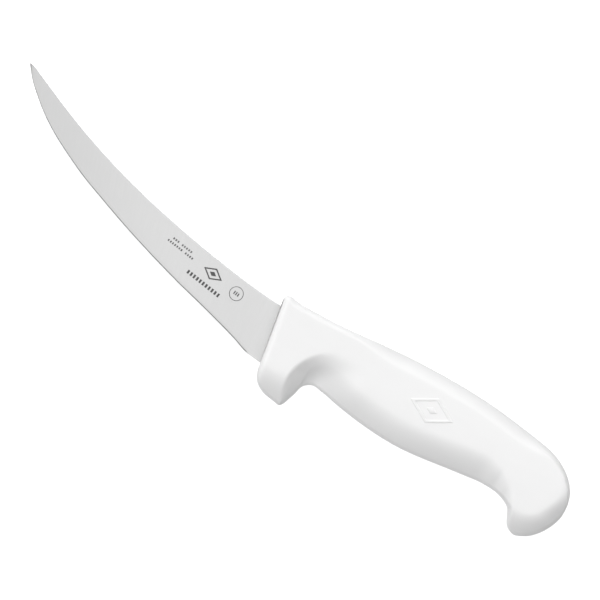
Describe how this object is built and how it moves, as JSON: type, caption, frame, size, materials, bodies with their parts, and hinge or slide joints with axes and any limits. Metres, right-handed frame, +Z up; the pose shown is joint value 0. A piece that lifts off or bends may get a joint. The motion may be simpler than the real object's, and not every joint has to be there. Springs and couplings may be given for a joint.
{
  "type": "boning knife",
  "caption": "Curved boning knife: a narrow upswept steel blade in a moulded white handle with a finger guard, scooped sides and a hooked butt.",
  "frame": {"origin": "on the surface that the knife lies on, under the middle of the knife's box", "axes": "+Z up out of the knife's side, -X towards the blade's tip, +Y towards the spine"},
  "size_m": [0.2904, 0.0728, 0.0203],
  "materials": {
    "blade_steel": "satin-ground stainless steel, fine grain across the blade",
    "handle_plastic": "white polypropylene with a fine satin texture"
  },
  "bodies": {
    "root": {"blade": "blade_steel", "handle": "handle_plastic"}
  },
  "joints": []
}
